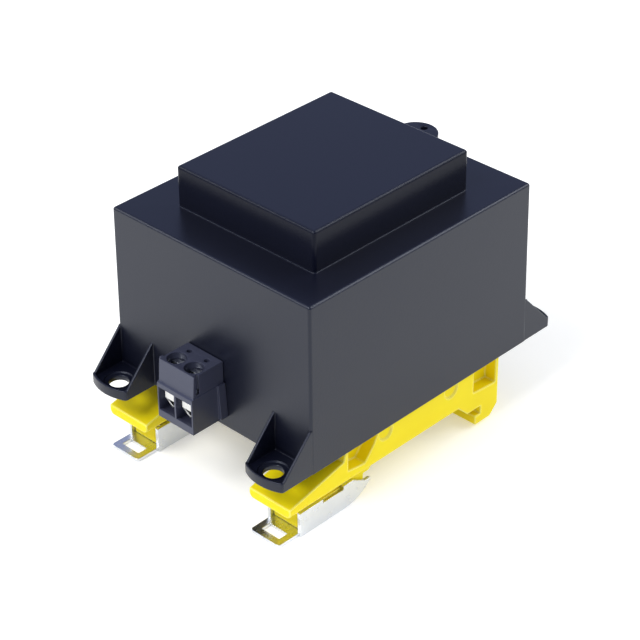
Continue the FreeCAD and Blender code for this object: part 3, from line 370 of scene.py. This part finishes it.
def flat_faces(mesh):
    """Merge a triangle mesh's doubled points and join its coplanar pairs of triangles."""
    work = bmesh.new()
    work.from_mesh(mesh)
    bmesh.ops.remove_doubles(work, verts=work.verts, dist=WELD)
    bmesh.ops.join_triangles(work, faces=work.faces, angle_face_threshold=COPLANAR,
                             angle_shape_threshold=ANY_SHAPE)
    work.to_mesh(mesh)
    work.free()


def modify(piece, name, kind, **settings):
    modifier = piece.modifiers.new(name, kind)
    for key, value in settings.items():
        setattr(modifier, key, value)


def apply_modifiers(piece):
    """Replace a piece's mesh with what its modifiers make of it."""
    graph = bpy.context.evaluated_depsgraph_get()
    mesh = bpy.data.meshes.new_from_object(piece.evaluated_get(graph))
    piece.modifiers.clear()
    piece.data = mesh


def body_of(node):
    bodies = frame["record"]["behaviour"]["bodies"]
    return next(body for body, members in bodies.items() if node in members)


def dress(node, finish, edge):
    """Copy a part, round its edges, and let the copy stand for it on the part's own body."""
    piece = new_piece(node + "_dressed", nodes[node].data.copy())
    flat_faces(piece.data)
    modify(piece, "Edges", "BEVEL", width=edge, segments=EDGE_SEGMENTS, limit_method="ANGLE",
           angle_limit=SHARP, use_clamp_overlap=False, loop_slide=False, miter_outer="MITER_ARC")
    apply_modifiers(piece)
    piece.data.shade_smooth()
    modify(piece, "Triangles", "TRIANGULATE", keep_custom_normals=True)
    modify(piece, "FlatFacesStayFlat", "WEIGHTED_NORMAL", keep_sharp=True, weight=100)
    apply_modifiers(piece)
    piece.data.materials.clear()
    piece.data.materials.append(finish.material)
    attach(piece, body_of(node))
    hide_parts(node)
    return piece


# %% [markdown]
# The moulded parts come first. The edge of a moulding is as round as its tool: the case and the
# feet have the widest edges, about a seventh of a millimetre, and the small terminals much finer
# ones. The latches are sheet metal and their springs folded strip, so those are narrow too. One
# width for all would be simpler, but it would eat up the terminals' thin walls.

# %% Dress the mouldings, the latches and their springs
CASE_EDGE = 0.00014
TERMINAL_EDGE = 0.00004
FOOT_EDGE = 0.00016
LATCH_EDGE = 0.00008
STRIP_EDGE = 0.00006
ENDS = ("front", "rear")
SIDES = ("left", "right")

dress("housing", case_plastic, CASE_EDGE)
for end in ENDS:
    dress(end + "_terminal_body", terminal_plastic, TERMINAL_EDGE)
for side in SIDES:
    dress(side + "_foot", foot_plastic, FOOT_EDGE)
    dress(side + "_latch", latch_zinc, LATCH_EDGE)
    dress(side + "_latch_spring", spring_steel, STRIP_EDGE)

# %% [markdown]
# A latch that slides out presses its spring against the foot's front wall. The spring's front end
# stays, and its rear end keeps up with the latch. Its folds could be bent one by one, but they
# close up evenly, so one squeeze along Y would be enough. Here each spring that a joint deforms
# only gets a mesh of its own.

# %% Springs get meshes of their own
for joint in frame["joints"]:
    for entry in joint.get("deforming_nodes", []):
        spring = bpy.data.objects[entry["node"] + "_dressed"]
        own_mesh(spring)

# %% [markdown]
# The terminal's metal parts are small and deep in their wells. The cage is a bent strip round the
# contact bar. A plain bright box would do from far off, but both catch the light through the wire
# windows, so the measured parts stay and their edges are dressed too.

# %% Dress the cages and the contact bars
WAYS = [f"{end}_{side}" for end in ENDS for side in SIDES]

for way in WAYS:
    dress(way + "_cage", cage_zinc, STRIP_EDGE)
    dress(way + "_contact_bar", bar_tin, STRIP_EDGE)
print("ways for a wire:", len(WAYS))

# %% [markdown]
# A screw thread is a section carried along a helix. A Screw modifier could turn it from a drawn
# profile. Geometry Nodes keep its sizes as named inputs instead, so one tree makes the threads of
# all eight screws. A Spiral curve gives the helix, Curve to Mesh sweeps the section along it, and
# a move at the end sets the result in place.

# %% The helix tree
STEPS_A_TURN = 24
SECTION_CORNERS = 8
HELIX_INPUTS = {"Radius": "Float", "Length": "Float", "Turns": "Float", "Wire": "Float",
                "Place": "Vector", "Material": "Material"}


def helix_tree():
    tree = bpy.data.node_groups.new("Helix", "GeometryNodeTree")
    tree.interface.new_socket("Geometry", in_out="OUTPUT", socket_type="NodeSocketGeometry")
    for label, kind in HELIX_INPUTS.items():
        tree.interface.new_socket(label, in_out="INPUT", socket_type="NodeSocket" + kind)
    given = tree.nodes.new("NodeGroupInput")
    spiral = tree.nodes.new("GeometryNodeCurveSpiral")
    spiral.inputs["Resolution"].default_value = STEPS_A_TURN
    section = tree.nodes.new("GeometryNodeCurvePrimitiveCircle")
    section.inputs["Resolution"].default_value = SECTION_CORNERS
    sweep = tree.nodes.new("GeometryNodeCurveToMesh")
    sweep.inputs["Fill Caps"].default_value = True
    move = tree.nodes.new("GeometryNodeTransform")
    smooth = tree.nodes.new("GeometryNodeSetShadeSmooth")
    realize = tree.nodes.new("GeometryNodeRealizeInstances")
    paint = tree.nodes.new("GeometryNodeSetMaterial")
    result = tree.nodes.new("NodeGroupOutput")
    joins = (
        (given, "Turns", spiral, "Rotations"),
        (given, "Radius", spiral, "Start Radius"),
        (given, "Radius", spiral, "End Radius"),
        (given, "Length", spiral, "Height"),
        (given, "Wire", section, "Radius"),
        (spiral, "Curve", sweep, "Curve"),
        (section, "Curve", sweep, "Profile Curve"),
        (sweep, "Mesh", move, "Geometry"),
        (given, "Place", move, "Translation"),
        (move, "Geometry", smooth, "Geometry"),
        (smooth, "Geometry", realize, "Geometry"),
        (realize, "Geometry", paint, "Geometry"),
        (given, "Material", paint, "Material"),
        (paint, "Geometry", result, "Geometry"),
    )
    for source, output, target, socket in joins:
        tree.links.new(source.outputs[output], target.inputs[socket])
    return tree


helix = helix_tree()
print("the helix tree has", len(helix.nodes), "nodes")

# %% [markdown]
# The screws keep their measured heads and shanks, with dressed edges. A full thread could be cut
# into the shank, but so little of it shows that a fine ridge on the shank tells the same. It is
# made with the helix tree and joined to the copy, so each screw is one piece. A terminal's screw
# has a fine pitch, and the feet's screws, which draw into brass inserts, have a coarser one.

# %% Screws with threads
SCREW_EDGE = 0.00007
SHANK_RADIUS = 0.00138
RIDGE_RADIUS = 0.00011
RIDGE_SINK = 0.00004  # from the shank's face in to the middle of the ridge
TERMINAL_THREAD = {"plain_low": 0.0004, "plain_high": 0.0020, "pitch": 0.0005}
FOOT_THREAD = {"plain_low": 0.0032, "plain_high": 0.0005, "pitch": 0.0009}
FOOT_SPOTS = [f"{side}_foot_{end}" for side in SIDES for end in ENDS]


def thread_ridge(name, **sizes):
    """A thread made by the helix tree, with its sizes set by the sockets' identifiers."""
    ridge = new_piece(name, bpy.data.meshes.new(name))
    maker = ridge.modifiers.new("Helix", "NODES")
    maker.node_group = helix
    for item in helix.interface.items_tree:
        if item.in_out == "INPUT":
            maker[item.identifier] = sizes[item.name]
    apply_modifiers(ridge)
    return ridge


def join_pieces(first, second):
    """Add the second piece's mesh to the first, and remove the second."""
    work = bmesh.new()
    work.from_mesh(first.data)
    work.from_mesh(second.data)
    work.to_mesh(first.data)
    work.free()
    bpy.data.objects.remove(second)


def dress_screw(node, plain_low, plain_high, pitch):
    """Dress a screw and thread it, apart from a plain length at its low and its high end."""
    piece = dress(node, screw_zinc, SCREW_EDGE)
    low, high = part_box(node)
    middle = (low + high) / 2
    start = low.z + plain_low
    length = high.z - plain_high - start
    ridge = thread_ridge(
        node + "_thread", Radius=SHANK_RADIUS - RIDGE_SINK, Length=length, Turns=length / pitch,
        Wire=RIDGE_RADIUS, Place=(middle.x, middle.y, start), Material=screw_zinc.material)
    join_pieces(piece, ridge)
    print(node, "has", round(length / pitch, 1), "turns of thread")


for way in WAYS:
    dress_screw(way + "_screw", **TERMINAL_THREAD)
for spot in FOOT_SPOTS:
    dress_screw(spot + "_screw", **FOOT_THREAD)

# %% [markdown]
# The parts that no view reaches keep their measured meshes. They could be left grey, but the model
# may be taken apart, so each gets the finish made for it above.

# %% Finish the inner parts
INNER = {
    "potting_resin": resin,
    "core_e_stack": core_steel,
    "core_i_stack": core_steel,
    "coil_former": former_nylon,
    "primary_winding": copper_turns,
    "secondary_winding": copper_turns,
}
INNER.update({way + "_lead": lead_sleeve for way in WAYS})
INNER.update({spot + "_insert": insert_brass for spot in FOOT_SPOTS})

for node, finish in INNER.items():
    mesh = nodes[node].data
    mesh.materials.clear()
    mesh.materials.append(finish.material)
print("inner parts:", len(INNER))

# %% [markdown]
# The photograph was taken on white, with large soft lights. The floor is a wide pale sheet. Dark
# plastic shows mostly reflections: its side walls mirror the white floor and look lighter than
# its top, so the floor must be there and must be pale to glossy rays too. A stronger lamp could
# make it white for the camera, but would bleach the feet. So the sheet glows a little, a little
# more for the camera alone, and more still far away, where the lamps hardly reach it. It stays
# white up to the edge of the picture and takes only a faint shade under the part.

# %% Floor
FLOOR_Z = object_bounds()[0].z
FLOOR_REACH = 3.0
FLOOR_CORNERS = ((-1, -1), (1, -1), (1, 1), (-1, 1))
PAPER_GLOW = 0.25
CAMERA_GLOW = (0.05, 0.80)  # what the camera sees on top of that, near and far
GLOW_REACH = (0.15, 0.60)  # how near and how far

floor_mesh = bpy.data.meshes.new("Floor")
floor_mesh.from_pydata(
    [(FLOOR_REACH * x, FLOOR_REACH * y, FLOOR_Z) for x, y in FLOOR_CORNERS], [], [(0, 1, 2, 3)])
floor = new_piece("Floor", floor_mesh)
paper = Finish("paper", (0.90, 0.90, 0.90), roughness=0.9)
paper.set("Specular IOR Level", 0.1)
paper.set("Emission Color", (1.0, 1.0, 1.0, 1))
paper.paint(paper.noise(400.0), (0.89, 0.89, 0.89), (0.91, 0.91, 0.91))
paper_reach = paper.add(
    "ShaderNodeVectorMath", {0: paper.place}, operation="LENGTH").outputs["Value"]
paper_seen = paper.add("ShaderNodeLightPath").outputs["Is Camera Ray"]
camera_glow = paper.times(paper_seen, paper.remap(paper_reach, GLOW_REACH, CAMERA_GLOW))
paper.join("Emission Strength", paper.add(
    "ShaderNodeMath", {0: camera_glow, 1: PAPER_GLOW}, operation="ADD").outputs[0])
floor.data.materials.append(paper.material)
print("floor at", round(1000 * FLOOR_Z, 2), "mm")

# %% [markdown]
# The world gives an even fill. One white at full strength would wash out the dark plastic, so it
# differs by the kind of ray. The camera sees plain white. Diffuse light takes a lower strength,
# so that colours render about as they are written. Mirrored rays see a cool grey-blue, as from a
# room beyond the lamps, which gives the dark plastic its bluish depth.

# %% World
world = bpy.data.worlds.new("Studio")
world.use_nodes = True
scene.world = world
studio = world.node_tree
studio.nodes.clear()
rays = studio.nodes.new("ShaderNodeLightPath")


def background(colour, strength):
    node = studio.nodes.new("ShaderNodeBackground")
    node.inputs["Color"].default_value = (*colour, 1)
    node.inputs["Strength"].default_value = strength
    return node.outputs["Background"]


def by_ray(kind, others, these):
    """One shader for the rays of this kind, and another for the others."""
    mix = studio.nodes.new("ShaderNodeMixShader")
    studio.links.new(rays.outputs[kind], mix.inputs["Fac"])
    studio.links.new(others, mix.inputs[1])
    studio.links.new(these, mix.inputs[2])
    return mix.outputs["Shader"]


diffuse_fill = background((0.93, 0.96, 1.0), strength=0.62)
mirrored_room = background((0.40, 0.46, 0.72), strength=0.82)
seen_white = background((1.0, 1.0, 1.0), strength=1.0)
room = by_ray("Is Glossy Ray", diffuse_fill, mirrored_room)
output = studio.nodes.new("ShaderNodeOutputWorld")
studio.links.new(by_ray("Is Camera Ray", room, seen_white), output.inputs["Surface"])
print("the world has", len(studio.nodes), "nodes")

# %% [markdown]
# Four soft lamps light the part, as large screens would in a studio. The key stands high in front,
# the side lamp draws the light rims on the hood, the back lamp lifts the far edges, and a low one
# on the right opens the shade under the case. Small hard lamps would throw black shadows on the
# white sheet. The low lamp would show as a bright patch in the right wall, so it isn't mirrored.

# %% Lamps
LAMPS_AIM = Vector((0, 0, 0.02))


def soft_lamp(name, place, size, power, mirrored=True):
    data = bpy.data.lights.new(name, "AREA")
    data.shape = "RECTANGLE"
    data.size, data.size_y = size
    data.energy = power
    lamp = bpy.data.objects.new(name, data)
    lamp.location = place
    lamp.rotation_euler = (LAMPS_AIM - Vector(place)).to_track_quat("-Z", "Y").to_euler()
    lamp.visible_glossy = mirrored
    scene.collection.objects.link(lamp)
    print(name, "gives", power, "W")


soft_lamp("KeyLamp", (-0.12, -0.85, 1.05), size=(0.7, 0.5), power=11.0)
soft_lamp("SideLamp", (-0.64, -0.57, 0.63), size=(0.5, 0.25), power=1.6)
soft_lamp("BackLamp", (0.60, 0.85, 0.80), size=(0.9, 0.4), power=6.0)
soft_lamp("LowLamp", (1.05, 0.10, 0.35), size=(0.5, 0.3), power=0.8, mirrored=False)
